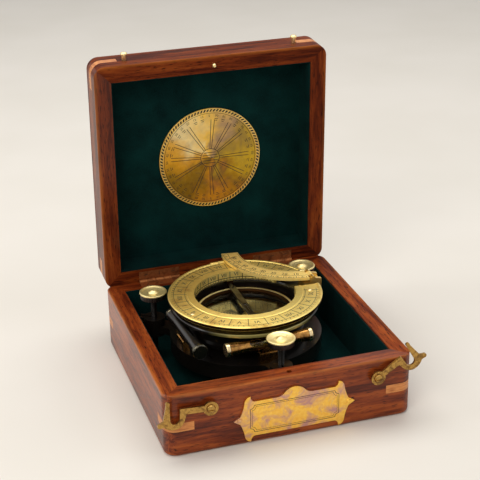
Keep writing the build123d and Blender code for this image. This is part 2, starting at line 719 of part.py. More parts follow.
def instrument_pieces():
    pieces = {"tripod_base": tripod_base(), "ear_clamp_screws": clamp_screws(), "compass_bowl": compass_bowl()}
    pieces["compass_card"] = disc(cup_radius - 0.1, cup_floor, cup_floor + 0.8)
    pieces["needle_pivot"] = needle_pivot()
    pieces["cover_glass"] = disc(glass_radius, glass_z, glass_z + glass_thickness)
    pieces["bezel"] = bezel()
    pieces["front_level_tube"] = front_level(level_tube())
    pieces["left_level_tube"] = left_level(level_tube())
    pieces["level_vials"] = [front_level(level_vial()), left_level(level_vial())]
    pieces["level_caps"] = [front_level(cap) for cap in level_caps(cap_radius)]
    pieces["level_caps"] += [left_level(cap) for cap in level_caps(large_cap_radius)]
    pieces["level_saddles"] = [front_level(level_saddle(front_saddle)), left_level(level_saddle(left_saddle))]
    pieces["ring_bracket"] = ring_bracket()
    pieces["ring_pin"] = ring_pin()
    pieces["arc_bracket"] = arc_bracket()
    pieces["arc_pin"] = arc_pin()
    pieces["compass_needle"] = compass_needle()
    pieces["needle_cap"] = needle_cap()
    pieces["hour_ring"] = hour_ring()
    pieces["gnomon_pivots"] = gnomon_pivots()
    pieces["gnomon_bar"] = gnomon_bar()
    pieces["gnomon_pin"] = gnomon_pin()
    pieces["latitude_arc"] = latitude_arc()
    for name, angle in screw_angles.items():
        spot = (screw_circle * cos(radians(angle)), screw_circle * sin(radians(angle)), 0)
        pieces[name + "_levelling_screw"] = Pos(*spot) * levelling_screw()
        pieces[name + "_levelling_knob"] = Pos(*spot) * levelling_knob()
    return {name: moved_all(placed, piece) for name, piece in pieces.items()}


def moved_all(move, piece):
    if isinstance(piece, list):
        return [move(item) for item in piece]
    return move(piece)


def write(name, piece):
    solids = []
    for item in piece if isinstance(piece, list) else [piece]:
        solids += list(item.solids())
    shape = solids[0] if len(solids) == 1 else Compound(children=solids)
    shape.label = name
    export_step(shape, os.path.join("parts", name + ".step"))


os.makedirs("parts", exist_ok=True)
for group in (case_pieces(), lid_pieces(), instrument_pieces()):
    for name, piece in group.items():
        write(name, piece)
print("nodes written:", len(os.listdir("parts")))
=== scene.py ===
import bpy
import random
from math import cos, pi, radians, sin, sqrt
from mathutils import Matrix, Vector


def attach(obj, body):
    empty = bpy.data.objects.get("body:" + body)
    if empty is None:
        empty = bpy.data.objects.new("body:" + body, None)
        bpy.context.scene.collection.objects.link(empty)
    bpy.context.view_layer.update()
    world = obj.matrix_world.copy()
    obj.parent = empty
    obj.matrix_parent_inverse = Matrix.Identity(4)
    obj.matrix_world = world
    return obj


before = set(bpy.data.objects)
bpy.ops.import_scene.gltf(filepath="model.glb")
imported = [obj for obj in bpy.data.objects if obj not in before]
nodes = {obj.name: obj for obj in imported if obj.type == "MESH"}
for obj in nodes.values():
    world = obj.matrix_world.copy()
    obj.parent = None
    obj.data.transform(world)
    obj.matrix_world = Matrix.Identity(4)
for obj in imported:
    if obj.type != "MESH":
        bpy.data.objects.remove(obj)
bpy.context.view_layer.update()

mm = 0.001
random.seed(7)


# Colours are sRGB hex, as they read off a swatch
def toLinear(hexColour, alpha=1.0):
    channels = [int(hexColour[i:i + 2], 16) / 255 for i in (1, 3, 5)]
    linear = [c / 12.92 if c <= 0.04045 else ((c + 0.055) / 1.055) ** 2.4 for c in channels]
    return linear + [alpha]


# Adds one shader node, fills its sockets or properties and links its inputs
# A node given as a source stands for its first output
def addNode(tree, kind, settings=None, links=None):
    node = tree.nodes.new("ShaderNode" + kind)
    for key, value in (settings or {}).items():
        if key == "stops":
            ramp = node.color_ramp
            while len(ramp.elements) < len(value):
                ramp.elements.new(0.5)
            for element, (place, colour) in zip(ramp.elements, value):
                element.position = place
                element.color = toLinear(colour) if isinstance(colour, str) else [colour] * 3 + [1.0]
        elif isinstance(key, int) or key in node.inputs:
            node.inputs[key].default_value = value
        else:
            setattr(node, key, value)
    for socket, source in (links or {}).items():
        tree.links.new(source.outputs[0] if isinstance(source, bpy.types.Node) else source, node.inputs[socket])
    return node


def startMaterial(name):
    material = bpy.data.materials.new(name)
    material.use_nodes = True
    tree = material.node_tree
    tree.nodes.clear()
    return material, tree, addNode(tree, "TexCoord").outputs["Object"]


def finishMaterial(material, settings, links):
    tree = material.node_tree
    shader = addNode(tree, "BsdfPrincipled", settings, links)
    addNode(tree, "OutputMaterial", None, {"Surface": shader})
    return material


# A texture scale in features per metre, from a feature size in millimetres
def perMetre(featureMm):
    return 1000.0 / featureMm


def dress(material, *names):
    for name in names:
        mesh = nodes[name].data
        mesh.materials.clear()
        mesh.materials.append(material)


# Turns in degrees and moves in millimetres
def turned(degrees, axis="Z"):
    return Matrix.Rotation(radians(degrees), 4, axis)


def moved(x, y, z):
    return Matrix.Translation((x, y, z))


def placeObject(name, data):
    piece = bpy.data.objects.new(name, data)
    bpy.context.scene.collection.objects.link(piece)
    return piece


# The lid's pieces are laid out shut, then turned open about the hinge pins
lidHinge = {"y": 80.5, "z": 43.5, "openDegrees": 88.0}
hingePoint = Vector((0, lidHinge["y"], lidHinge["z"]))
lidOpening = moved(*hingePoint) @ turned(-lidHinge["openDegrees"], "X") @ moved(*-hingePoint)
discMiddle = Vector((2.2, -0.8, 62.7))    # the lid disc's face, lid shut
dialCentre = (-1.0, 9.0)
dialPlace = moved(*dialCentre, 0.0)


# Shapes
def newShape():
    return {"vertices": [], "faces": []}


def addFaces(shape, vertices, faces, place=None):
    first = len(shape["vertices"])
    shape["vertices"] += [tuple(place @ Vector(v)) if place else tuple(v) for v in vertices]
    shape["faces"] += [tuple(first + i for i in face) for face in faces]


# A unit vector in the drawing plane
def headingAt(angle):
    return Vector((cos(angle), sin(angle)))


# A thin bar along a line in the drawing plane, standing proud by its height
def addBar(shape, start, end, width, height, place=None):
    a, b = Vector(start), Vector(end)
    side = Vector((-(b - a).y, (b - a).x)).normalized() * width / 2
    ring = [a - side, b - side, b + side, a + side]
    corners = [(p.x, p.y, 0) for p in ring] + [(p.x, p.y, height) for p in ring]
    faces = [(3, 2, 1, 0), (4, 5, 6, 7)] + [(i, (i + 1) % 4, (i + 1) % 4 + 4, i + 4) for i in range(4)]
    addFaces(shape, corners, faces, place)


# A flat band between two radii, between two angles in degrees
def addBand(shape, inner, outer, height, start=0.0, sweep=360.0, place=None):
    steps = max(3, int(sweep / 4))
    closed = sweep >= 359.9
    count = steps if closed else steps + 1
    corners = []
    for i in range(count):
        angle = radians(start + sweep * i / steps)
        for radius, z in ((inner, 0), (outer, 0), (outer, height), (inner, height)):
            corners.append((radius * cos(angle), radius * sin(angle), z))
    faces = []
    for i in range(steps):
        j = (i + 1) % count
        for k in range(4):
            n = (k + 1) % 4
            faces.append((4 * i + k, 4 * j + k, 4 * j + n, 4 * i + n))
    if not closed:
        faces += [(0, 1, 2, 3), tuple(4 * (count - 1) + k for k in (3, 2, 1, 0))]
    addFaces(shape, corners, faces, place)


# A flat polygon with a little thickness
def addPlate(shape, outline, height, place=None):
    n = len(outline)
    corners = [(x, y, 0) for x, y in outline] + [(x, y, height) for x, y in outline]
    faces = [tuple(reversed(range(n))), tuple(range(n, 2 * n))]
    faces += [(i, (i + 1) % n, (i + 1) % n + n, i + n) for i in range(n)]
    addFaces(shape, corners, faces, place)


# Plain numerals, centred on the origin of the drawing plane
def addNumeral(shape, text, size, height, place):
    curve = bpy.data.curves.new("numeral", "FONT")
    curve.body = text
    curve.size = size
    curve.align_x = "CENTER"
    curve.align_y = "CENTER"
    curve.resolution_u = 2
    curve.extrude = height / 2
    holder = placeObject("numeral", curve)
    bpy.context.view_layer.update()
    mesh = bpy.data.meshes.new_from_object(holder.evaluated_get(bpy.context.evaluated_depsgraph_get()))
    lift = moved(0, 0, height / 2)
    faces = [tuple(p.vertices) for p in mesh.polygons]
    addFaces(shape, [v.co[:] for v in mesh.vertices], faces, place @ lift)
    bpy.data.meshes.remove(mesh)
    bpy.data.objects.remove(holder)
    bpy.data.curves.remove(curve)


# A tube of round section along points, closed on itself or with capped ends
def addTube(shape, points, radius, sides=10, closed=False, place=None):
    points = [Vector(p) for p in points]
    count = len(points)
    corners = []
    for i, point in enumerate(points):
        before = points[i - 1] if closed or i else points[0]
        after = points[(i + 1) % count] if closed or i < count - 1 else points[-1]
        along = (after - before).normalized()
        helper = Vector((0, 0, 1)) if abs(along.z) < 0.9 else Vector((1, 0, 0))
        u = along.cross(helper).normalized()
        v = along.cross(u)
        r = radius[i] if isinstance(radius, list) else radius
        turns = [2 * pi * k / sides for k in range(sides)]
        corners += [point + (u * cos(t) + v * sin(t)) * r for t in turns]
    faces = []
    for i in range(count if closed else count - 1):
        j = (i + 1) % count
        faces += [(i * sides + k, i * sides + (k + 1) % sides, j * sides + (k + 1) % sides, j * sides + k)
                  for k in range(sides)]
    if not closed:
        faces += [tuple(reversed(range(sides))), tuple((count - 1) * sides + k for k in range(sides))]
    addFaces(shape, corners, faces, place)


# A low dome on a flat face, closed underneath
def addDome(shape, radius, height, place, sides=20, rings=5):
    corners = [(0, 0, height)]
    for k in range(1, rings + 1):
        lean = pi / 2 * k / rings
        corners += [(radius * sin(lean) * cos(2 * pi * i / sides),
                     radius * sin(lean) * sin(2 * pi * i / sides), height * cos(lean))
                    for i in range(sides)]
    faces = [(0, 1 + i, 1 + (i + 1) % sides) for i in range(sides)]
    for k in range(rings - 1):
        a, b = 1 + k * sides, 1 + (k + 1) * sides
        faces += [(a + i, b + i, b + (i + 1) % sides, a + (i + 1) % sides) for i in range(sides)]
    faces.append(tuple(reversed(range(1 + (rings - 1) * sides, 1 + rings * sides))))
    addFaces(shape, corners, faces, place)


# Turns a shape in millimetres into an object that rides on a body
def finishPiece(name, shape, material, body, place=None, smooth=False):
    corners = [tuple((place @ Vector(v) if place else Vector(v)) * mm) for v in shape["vertices"]]
    mesh = bpy.data.meshes.new(name)
    mesh.from_pydata(corners, [], shape["faces"])
    mesh.materials.append(material)
    mesh.update()
    if smooth:
        mesh.polygons.foreach_set("use_smooth", [True] * len(mesh.polygons))
    piece = placeObject(name, mesh)
    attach(piece, body)


print("frame and shape helpers ready")


# Case: polished rosewood, planed boards under a rubbed varnish
# The eye gets a red-brown figure that runs along each board, dark pores, and a soft gloss
rosewood = {
    "deep": "#3a1206", "dark": "#5e230e", "middle": "#843915", "light": "#a5521f", "worn": "#c67636",
    "pore": "#2a0f08", "figureMm": 13.0, "streakMm": 2.6, "poreMm": 0.55, "handledMm": 35.0,
    "alongGrain": 0.09, "figureShare": 0.62, "outerMm": (80.2, 82.4), "rimMm": (2.2, 0.2),
    "baseMiddleMm": 21.75, "lidMiddleMm": 56.5, "baseHalfMm": 21.75, "lidHalfMm": 13.0,
    "gloss": (0.36, 0.56), "surface": {"Specular IOR Level": 0.05, "Coat Roughness": 0.2},
}
# The lid's boards take darker tones than the base's, painted shade on the same stain
lidShadedTones = {"deep": "#2c0d04", "dark": "#4a1a0a", "middle": "#6b2c10", "light": "#8a4218", "worn": "#ad662c"}


# How far a spot lies on the rubbed arris between an outer face and the rim, top or underside
def rubbedArris(tree, look, coords, onLid):
    split = addNode(tree, "SeparateXYZ", None, {0: coords})
    absX = addNode(tree, "Math", {"operation": "ABSOLUTE"}, {0: split.outputs["X"]})
    absY = addNode(tree, "Math", {"operation": "ABSOLUTE"}, {0: split.outputs["Y"]})
    reach = addNode(tree, "Math", {"operation": "MAXIMUM"}, {0: absX, 1: absY})
    start, end = look["outerMm"]
    outer = addNode(tree, "MapRange", {"From Min": start * mm, "From Max": end * mm}, {"Value": reach})
    middle = look["lidMiddleMm" if onLid else "baseMiddleMm"] * mm
    half = look["lidHalfMm" if onLid else "baseHalfMm"]
    level = addNode(tree, "Math", {"operation": "SUBTRACT", 1: middle}, {0: split.outputs["Z"]})
    height = addNode(tree, "Math", {"operation": "ABSOLUTE"}, {0: level})
    start, end = look["rimMm"]
    rim = addNode(tree, "MapRange", {"From Min": (half - start) * mm, "From Max": (half - end) * mm},
                  {"Value": height})
    return addNode(tree, "Math", {"operation": "MULTIPLY"}, {0: outer, 1: rim})


def polishedRosewood(name, grain, shift, onLid, varnish):
    # On the lid the darker tones stand in for shade: painted shade
    look = {**rosewood, **lidShadedTones} if onLid else rosewood
    material, tree, coords = startMaterial(name)
    if onLid:
        # Back to the shut lid's own directions, so the boards match those of the base
        angle = radians(lidHinge["openDegrees"])
        offset = (hingePoint - Matrix.Rotation(angle, 3, "X") @ hingePoint) * mm
        coords = addNode(tree, "Mapping", {"Rotation": (angle, 0, 0), "Location": offset}, {0: coords})
    stretch = [1.0, 1.0, 1.0]
    stretch["XYZ".index(grain)] = look["alongGrain"]
    cut = (shift, shift * 0.7, shift * 1.3)    # each board comes from its own part of the plank
    board = addNode(tree, "Mapping", {"Scale": stretch, "Location": cut}, {0: coords})
    figure = addNode(tree, "TexNoise", {
        "Scale": perMetre(look["figureMm"]), "Detail": 4.0, "Roughness": 0.55, "Distortion": 1.6},
        {"Vector": board})
    streaks = addNode(tree, "TexNoise", {
        "Scale": perMetre(look["streakMm"]), "Detail": 3.0, "Roughness": 0.6, "Distortion": 0.6},
        {"Vector": board})
    pores = addNode(tree, "TexNoise", {"Scale": perMetre(look["poreMm"]), "Detail": 1.0, "Roughness": 0.5},
                    {"Vector": board})
    fineShare = addNode(tree, "Math", {"operation": "MULTIPLY", 1: 1 - look["figureShare"]}, {0: streaks})
    blend = addNode(tree, "Math", {"operation": "MULTIPLY_ADD", 1: look["figureShare"]},
                    {0: figure, 2: fineShare})
    tone = addNode(tree, "ValToRGB", {"stops": [
        (0.33, look["deep"]), (0.43, look["dark"]), (0.52, look["middle"]), (0.64, look["light"])]},
        {"Fac": blend})
    poreMask = addNode(tree, "ValToRGB", {"stops": [(0.30, 0.0), (0.40, 1.0)]}, {"Fac": pores})
    grained = addNode(tree, "Mix", {"data_type": "RGBA", 6: toLinear(look["pore"])}, {0: poreMask, 7: tone})
    arris = rubbedArris(tree, look, coords, onLid)
    rubbed = addNode(tree, "Math", {"operation": "MULTIPLY"}, {0: arris, 1: streaks})
    colour = addNode(tree, "Mix", {"data_type": "RGBA", 7: toLinear(look["worn"])},
                     {0: rubbed, 6: grained.outputs[2]})
    handled = addNode(tree, "TexNoise", {"Scale": perMetre(look["handledMm"]), "Detail": 3.0},
                      {"Vector": coords})
    rough = addNode(tree, "MapRange", {"To Min": look["gloss"][0], "To Max": look["gloss"][1]},
                    {"Value": handled})
    bump = addNode(tree, "Bump", {"Strength": 0.25, "Distance": 0.0001}, {"Height": poreMask})
    return finishMaterial(material, {**look["surface"], "Coat Weight": varnish}, {
        "Base Color": colour.outputs[2], "Roughness": rough, "Normal": bump})


# Name, solid, grain direction, place in the plank, and varnish left on its outside
for name, solid, grain, shift, varnish in (
        ("FrontBoard", "base_wall_front", "X", 0.0, 0.45), ("BackBoard", "base_wall_back", "X", 0.37, 0.0),
        ("LeftBoard", "base_wall_left", "Y", 0.11, 0.6), ("RightBoard", "base_wall_right", "Y", 0.23, 0.0),
        ("BottomBoard", "base_bottom", "X", 0.51, 0.0), ("LidFront", "lid_wall_front", "X", 0.61, 0.0),
        ("LidBack", "lid_wall_back", "X", 0.73, 0.0), ("LidLeft", "lid_wall_left", "Y", 0.83, 0.35),
        ("LidRight", "lid_wall_right", "Y", 0.97, 0.0), ("LidPanel", "lid_panel", "X", 1.13, 0.0)):
    dress(polishedRosewood("rosewood" + name, grain, shift, solid.startswith("lid"), varnish), solid)
print("rosewood boards dressed")


# Corner keys: pale straight-grained slips, sawn and sanded flush
# They read as warm orange bars across each corner
keyWood = {"pale": "#d98f4e", "deep": "#ab5f2a", "grainMm": 0.8, "alongGrain": 0.12, "surface": {
    "Roughness": 0.42, "Specular IOR Level": 0.32, "Coat Weight": 0.12, "Coat Roughness": 0.2}}


def sandedBeech(name):
    look = keyWood
    material, tree, coords = startMaterial(name)
    lines = addNode(tree, "Mapping", {"Scale": (look["alongGrain"], look["alongGrain"], 1.0)}, {0: coords})
    grain = addNode(tree, "TexNoise", {"Scale": perMetre(look["grainMm"]), "Detail": 3.0}, {"Vector": lines})
    tone = addNode(tree, "ValToRGB", {"stops": [(0.3, look["deep"]), (0.62, look["pale"])]}, {"Fac": grain})
    bump = addNode(tree, "Bump", {"Strength": 0.15, "Distance": 0.0001}, {"Height": grain})
    return finishMaterial(material, look["surface"], {"Base Color": tone, "Normal": bump})


dress(sandedBeech("beechKeySlips"), "base_corner_keys", "lid_corner_keys")


# Lining: baize, a napped wool cloth glued to the wood
# A deep green that drinks the light, with a faint nap and a pale sheen at grazing angles
baize = {"deep": "#011314", "light": "#06302f", "napMm": 0.5, "patchMm": 18.0, "surface": {
    "Roughness": 0.95, "Specular IOR Level": 0.08, "Sheen Weight": 0.02, "Sheen Roughness": 0.45,
    "Sheen Tint": toLinear("#3f7a6c")}}


def nappedBaize(name):
    look = baize
    material, tree, coords = startMaterial(name)
    nap = addNode(tree, "TexNoise", {"Scale": perMetre(look["napMm"]), "Detail": 2.0, "Roughness": 0.7},
                  {"Vector": coords})
    patch = addNode(tree, "TexNoise", {"Scale": perMetre(look["patchMm"]), "Detail": 3.0}, {"Vector": coords})
    halfPatch = addNode(tree, "Math", {"operation": "MULTIPLY", 1: 0.5}, {0: patch})
    mixed = addNode(tree, "Math", {"operation": "MULTIPLY_ADD", 1: 0.5}, {0: nap, 2: halfPatch})
    tone = addNode(tree, "ValToRGB", {"stops": [(0.32, look["deep"]), (0.68, look["light"])]}, {"Fac": mixed})
    bump = addNode(tree, "Bump", {"Strength": 0.5, "Distance": 0.0002}, {"Height": nap})
    return finishMaterial(material, look["surface"], {"Base Color": tone, "Normal": bump})


dress(nappedBaize("greenBaize"), "base_floor_baize", "base_wall_baize", "lid_panel_baize", "lid_wall_baize")
print("keys and lining dressed")


# Brass: cast and rolled, then turned, rubbed or left to age
# Bright where it is handled, with brown and violet bloom where it isn't
# Tones are clean, warm and bloom; bloomFrom is where the bloom starts; gloss is least and most roughness
brassLooks = {
    "turnedBrightBrass": {
        "solids": ["hour_ring"],
        "tones": ("#fff0a0", "#f6d26a", "#b58a3c"), "bloomFrom": 0.54, "spotMm": 16.0, "gloss": (0.46, 0.56),
        "lineMm": 0.35, "spinAxis": "Z", "spinAbout": (*dialCentre, 0.0), "brushed": 0.3,
        # Painted shade: the ring's outer side wall and everything below 52.4 mm are painted dark
        "shadedFromMm": 50.6, "shadedBelowMm": 52.4, "shadeWallsOnly": True},
    "turnedBezelBrass": {
        "solids": ["bezel"],
        "tones": ("#fdf0b4", "#f0d68a", "#c8a45c"), "bloomFrom": 0.6, "spotMm": 12.0, "gloss": (0.5, 0.6),
        "lineMm": 0.35, "spinAxis": "Z", "spinAbout": (*dialCentre, 0.0), "brushed": 0.0,
        # Painted shade: the bezel is painted dark outside 33.35 mm and inside 32.0 mm, leaving its crest bright
        "shadedFromMm": 33.35, "shadedWithinMm": 32.0},
    "rubbedBrass": {
        "solids": ["ring_bracket", "ring_pin", "arc_bracket", "arc_pin", "needle_cap", "needle_pivot"],
        "tones": ("#f6da88", "#e0b45a", "#9a763c"), "bloomFrom": 0.57, "spotMm": 9.0, "gloss": (0.34, 0.46)},
    "paleKnobBrass": {
        "solids": ["left_levelling_knob", "right_levelling_knob", "front_levelling_knob"],
        "tones": ("#fff3bc", "#f6dd92", "#cfa866"), "bloomFrom": 0.58, "spotMm": 6.0, "gloss": (0.44, 0.52)},
    "satinArcBrass": {
        "solids": ["latitude_arc"],
        "tones": ("#fff0a4", "#ffd676", "#b0863c"), "bloomFrom": 0.56, "spotMm": 9.0, "gloss": (0.6, 0.7)},
    "wornTubeBrass": {
        "solids": ["gnomon_pivots", "front_level_tube", "level_saddles"], "lineMm": 0.5,
        "tones": ("#e0b060", "#93552f", "#35190f"), "bloomFrom": 0.47, "spotMm": 11.0, "gloss": (0.24, 0.34)},
    "capBrass": {
        "solids": ["level_caps"], "lineMm": 0.5, "blackWestOfMm": -40.0,
        "tones": ("#fbecc0", "#dcbb84", "#7b5c3a"), "bloomFrom": 0.56, "spotMm": 5.0, "gloss": (0.26, 0.38)},
    "agedHookBrass": {
        "solids": ["left_hook", "right_hook", "left_hook_screw", "right_hook_screw"], "lineMm": 0.5,
        "tones": ("#cfa659", "#8e6838", "#5a3c26"), "bloomFrom": 0.46, "spotMm": 4.0, "gloss": (0.26, 0.44)},
    "creamPinBrass": {
        "solids": ["catch_pins", "locating_peg", "ear_clamp_screws"], "lineMm": 0.5,
        "tones": ("#fbe9b4", "#e8c888", "#b8935a"), "bloomFrom": 0.60, "spotMm": 6.0, "gloss": (0.30, 0.42)},
    "tarnishedHingeBrass": {
        "solids": ["base_hinge_leaves", "lid_hinge_leaves", "hinge_pins",
                   "base_hinge_screws", "lid_hinge_screws"], "lineMm": 0.5,
        "tones": ("#b27848", "#8c5232", "#5c3020"), "bloomFrom": 0.5, "spotMm": 8.0, "gloss": (0.58, 0.7)},
    "stainedPlateBrass": {
        "solids": ["nameplate", "nameplate_pins"],
        "tones": ("#ffdc70", "#eba83a", "#b58894"), "bloomFrom": 0.46, "spotMm": 12.0, "gloss": (0.34, 0.48)},
    "stainedDiscBrassWithPaintedReflections": {
        "solids": ["lid_disc"],
        "tones": ("#ffd05c", "#c58a2c", "#6e5468"), "bloomFrom": 0.47, "spotMm": 15.0, "gloss": (0.32, 0.42),
        "spinAxis": "Y", "spinAbout": tuple(lidOpening @ discMiddle), "brushed": 0.5, "bendSpotMm": 16.0,
        # Painted reflection: light and dark sectors round the disc's centre, mixed into its colour
        "bendMm": 50.0, "sectors": [
            (0.0, "#d49c24"), (0.08, "#7c6412"), (0.17, "#42350a"), (0.27, "#c48218"), (0.36, "#7a5a12"),
            (0.46, "#c2a81c"), (0.58, "#93823a"), (0.66, "#a9927c"), (0.76, "#ffd568"), (0.86, "#fff2bc"),
            (0.93, "#d6a650"), (1.0, "#d49c24")]},
}


# Painted reflection: the light and dark sectors that a disc polished in circles throws are painted into its
# colour, and a noise bends them
def polishSectors(tree, look, coords, centred, colour):
    bend = look["bendMm"] * mm
    axes = addNode(tree, "SeparateXYZ", None, {0: centred})
    flat = addNode(tree, "CombineXYZ", None, {0: axes.outputs["X"], 1: axes.outputs["Z"]})
    bent = addNode(tree, "TexNoise", {"Scale": perMetre(look["bendSpotMm"]), "Detail": 5.0}, {"Vector": coords})
    wander = addNode(tree, "VectorMath", {"operation": "MULTIPLY_ADD", 1: (bend, bend, 0.0)},
                     {0: bent.outputs["Color"], 2: flat})
    shifted = addNode(tree, "VectorMath", {"operation": "SUBTRACT", 1: (bend / 2, bend / 2, 0.0)}, {0: wander})
    turn = addNode(tree, "TexGradient", {"gradient_type": "RADIAL"}, {"Vector": shifted})
    sectors = addNode(tree, "ValToRGB", {"stops": look["sectors"]}, {"Fac": turn.outputs["Fac"]})
    return addNode(tree, "Mix", {"data_type": "RGBA", 0: 0.66}, {6: colour.outputs[2], 7: sectors})


# Painted shade: a dark brown painted beyond a radius (on upright walls only, if asked), within a radius and
# below a height
def keepOldLacquer(tree, look, coords, distance, colour):
    soft = 0.3 * mm
    start = look["shadedFromMm"] * mm
    dark = addNode(tree, "MapRange", {"From Min": start, "From Max": start + soft}, {"Value": distance})
    if "shadeWallsOnly" in look:
        facing = addNode(tree, "SeparateXYZ", None, {0: addNode(tree, "TexCoord").outputs["Normal"]})
        upright = addNode(tree, "Math", {"operation": "ABSOLUTE"}, {0: facing.outputs["Z"]})
        walls = addNode(tree, "MapRange", {"From Min": 0.3, "From Max": 0.5, "To Min": 1.0, "To Max": 0.0},
                        {"Value": upright})
        dark = addNode(tree, "Math", {"operation": "MULTIPLY"}, {0: dark, 1: walls})
    if "shadedWithinMm" in look:
        end = look["shadedWithinMm"] * mm
        within = addNode(tree, "MapRange", {"From Min": end, "From Max": end - soft}, {"Value": distance})
        dark = addNode(tree, "Math", {"operation": "MAXIMUM"}, {0: dark, 1: within})
    if "shadedBelowMm" in look:
        heights = addNode(tree, "SeparateXYZ", None, {0: coords})
        low = look["shadedBelowMm"] * mm
        below = addNode(tree, "MapRange", {"From Min": low, "From Max": low - soft},
                        {"Value": heights.outputs["Z"]})
        dark = addNode(tree, "Math", {"operation": "MAXIMUM"}, {0: dark, 1: below})
    # The dark brown stands for shade: painted shade
    return addNode(tree, "Mix", {"data_type": "RGBA", 7: toLinear("#2b1a0b")}, {0: dark, 6: colour.outputs[2]})


# The large left-hand level keeps its black caps
def blackenCaps(tree, look, coords, colour):
    west = look["blackWestOfMm"] * mm
    place = addNode(tree, "SeparateXYZ", None, {0: coords})
    black = addNode(tree, "MapRange", {"From Min": west, "From Max": west - mm}, {"Value": place.outputs["X"]})
    return addNode(tree, "Mix", {"data_type": "RGBA", 7: toLinear("#6a6656")}, {0: black, 6: colour.outputs[2]})


# Turned faces carry fine rings about the lathe's centre, the rest straight rubbing lines
def agedBrass(name):
    look = {"lineMm": 0.4, **brassLooks[name]}
    clean, warm, bloom = (toLinear(tone) for tone in look["tones"])
    settings, links = {"Metallic": 1.0}, {}
    material, tree, coords = startMaterial(name)
    spots = addNode(tree, "TexNoise", {
        "Scale": perMetre(look["spotMm"]), "Detail": 4.0, "Roughness": 0.6, "Distortion": 0.8},
        {"Vector": coords})
    fine = addNode(tree, "TexNoise", {"Scale": perMetre(look["spotMm"] / 7), "Detail": 3.0}, {"Vector": coords})
    if "spinAxis" in look:
        keep = (1, 1, 0) if look["spinAxis"] == "Z" else (1, 1, 1)
        shift = [-a * b for a, b in zip(Vector(look["spinAbout"]) * mm, keep)]
        centred = addNode(tree, "VectorMath", {"operation": "MULTIPLY_ADD", 1: keep, 2: shift}, {0: coords})
        distance = addNode(tree, "VectorMath", {"operation": "LENGTH"}, {0: centred}).outputs["Value"]
        drawn = addNode(tree, "CombineXYZ", None, {0: distance})
        links["Tangent"] = addNode(tree, "Tangent", {"direction_type": "RADIAL", "axis": look["spinAxis"]})
        settings.update({"Anisotropic": look["brushed"], "Anisotropic Rotation": 0.25})
    else:
        drawn = addNode(tree, "Mapping", {"Scale": (0.06, 1.0, 1.0)}, {0: coords})
    lines = addNode(tree, "TexNoise", {"Scale": perMetre(look["lineMm"]), "Detail": 2.0}, {"Vector": drawn})
    base = addNode(tree, "Mix", {"data_type": "RGBA", 6: clean, 7: warm}, {0: fine})
    start = look["bloomFrom"]
    mask = addNode(tree, "ValToRGB", {"stops": [(start, 0.0), (start + 0.2, 0.85)]}, {"Fac": spots})
    colour = addNode(tree, "Mix", {"data_type": "RGBA", 7: bloom}, {0: mask, 6: base.outputs[2]})
    # The lid disc gets its painted reflection sectors
    if "sectors" in look:
        colour = polishSectors(tree, look, coords, centred, colour)
    # Painted shade on the ring's walls and the bezel's edges
    if "shadedFromMm" in look:
        colour = keepOldLacquer(tree, look, coords, distance, colour)
    if "blackWestOfMm" in look:
        colour = blackenCaps(tree, look, coords, colour)
    rough = addNode(tree, "MapRange", {"To Min": look["gloss"][0], "To Max": look["gloss"][1]}, {"Value": mask})
    bump = addNode(tree, "Bump", {"Strength": 0.12, "Distance": 0.00005}, {"Height": lines})
    links.update({"Base Color": colour.outputs[2], "Roughness": rough, "Normal": bump})
    return finishMaterial(material, settings, links)


brass = {name: agedBrass(name) for name in brassLooks}
for name, look in brassLooks.items():
    dress(brass[name], *look["solids"])


# Body: brass under black lacquer, worn through at the high spots
# Near black with a wet gloss, and a few rubbed brown-gold patches
lacquer = {"black": "#090807", "brown": "#1c1510", "rubbed": "#86683a", "patchMm": 8.0, "wornFrom": 0.66,
           "gloss": (0.2, 0.42), "surface": {"Metallic": 0.3, "Coat Weight": 0.5, "Coat Roughness": 0.12},
           # The pale rim at the front is partly the bowl's brass, partly painted highlight
           "rimHighlightTone": "#a39a58", "rimMm": (48.6, 49.6), "litFrontMm": (-34.0, -46.0)}


# The bowl's widest edge shows pale brass at the front only: partly its own brass, partly painted highlight
# where the light catches it
def rubFrontRim(tree, look, coords, colour):
    centre = (-dialCentre[0] * mm, -dialCentre[1] * mm, 0)
    flat = addNode(tree, "VectorMath", {"operation": "MULTIPLY_ADD", 1: (1, 1, 0), 2: centre}, {0: coords})
    reach = addNode(tree, "VectorMath", {"operation": "LENGTH"}, {0: flat})
    split = addNode(tree, "SeparateXYZ", None, {0: flat})
    ranges = ((look["rimMm"], reach.outputs["Value"]), (look["litFrontMm"], split.outputs["Y"]))
    rim, front = (addNode(tree, "MapRange", {"From Min": start * mm, "From Max": end * mm}, {"Value": source})
                  for (start, end), source in ranges)
    share = addNode(tree, "Math", {"operation": "MULTIPLY"}, {0: rim, 1: front})
    return addNode(tree, "Mix", {"data_type": "RGBA", 7: toLinear(look["rimHighlightTone"])},
                   {0: share, 6: colour.outputs[2]})


